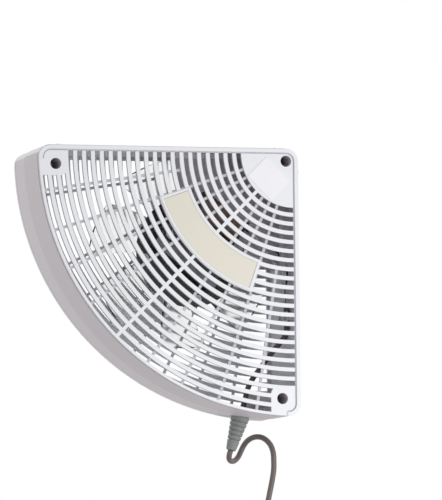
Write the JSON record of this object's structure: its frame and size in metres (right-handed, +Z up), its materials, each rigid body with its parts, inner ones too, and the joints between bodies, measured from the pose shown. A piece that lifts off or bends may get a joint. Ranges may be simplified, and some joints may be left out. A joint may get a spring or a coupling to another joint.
{
  "type": "door frame fan",
  "caption": "Quarter-disc fan that fits in the upper corner of a door frame, with slotted grilles on both sides, a shaded-pole motor and a hanging mains cord.",
  "frame": {"origin": "middle of the top flat side, at half the depth, where it meets the head of the door frame", "axes": "+X along the head towards the corner of the frame, +Y from the front grille to the rear one, +Z up"},
  "size_m": [0.2399, 0.0903, 0.4449],
  "materials": {
    "grey_plastic": "fine moulded texture",
    "white_plastic": "smooth moulded",
    "cream_film": "printed film",
    "silver_film": "film",
    "zinc_steel": "zinc plated",
    "black_painted_steel": "semi-gloss paint",
    "black_rubber": "moulded",
    "lamination_steel": "stacked sheet",
    "copper": "bare wire",
    "black_plastic": "moulded",
    "brown_tape": "insulating tape",
    "bronze": "sintered, oiled",
    "polished_steel": "ground",
    "nylon": "natural",
    "impeller_plastic": "moulded",
    "grey_rubber": "moulded",
    "cord_vinyl": "extruded",
    "wire_vinyl": "extruded",
    "brass": "stamped"
  },
  "bodies": {
    "casing": {"front_shell": "grey_plastic", "rear_shell": "grey_plastic", "front_grille": "white_plastic", "rear_grille": "white_plastic", "badge_strip": "cream_film", "rating_plate": "silver_film", "front_screws": "zinc_steel", "rear_screws": "zinc_steel", "motor_plate": "black_painted_steel", "plate_screws": "zinc_steel", "rubber_washers": "black_rubber", "laminations": "lamination_steel", "shading_rings": "copper", "coil_bobbin": "black_plastic", "coil_winding": "brown_tape", "front_bracket": "zinc_steel", "rear_bracket": "zinc_steel", "front_bearing": "bronze", "rear_bearing": "bronze", "motor_screws": "zinc_steel", "motor_nuts": "zinc_steel", "strain_relief": "grey_rubber", "inner_cord": "cord_vinyl", "cord_clamp": "nylon", "clamp_screws": "zinc_steel", "lead_wires": "wire_vinyl", "wire_connectors": "nylon", "cord": "cord_vinyl", "cord_coil": "cord_vinyl", "cord_tie": "black_rubber", "plug_body": "cord_vinyl", "plug_blades": "brass"},
    "rotor": {"rotor_core": "lamination_steel", "shaft": "polished_steel", "thrust_washers": "nylon", "impeller": "impeller_plastic", "impeller_clip": "nylon"}
  },
  "joints": [
    {"name": "rotor_spin", "type": "hinge", "parent": "casing", "child": "rotor", "pos_m": [0.029, 0, -0.091], "axis": [0, 1, 0], "continuous": true}
  ]
}
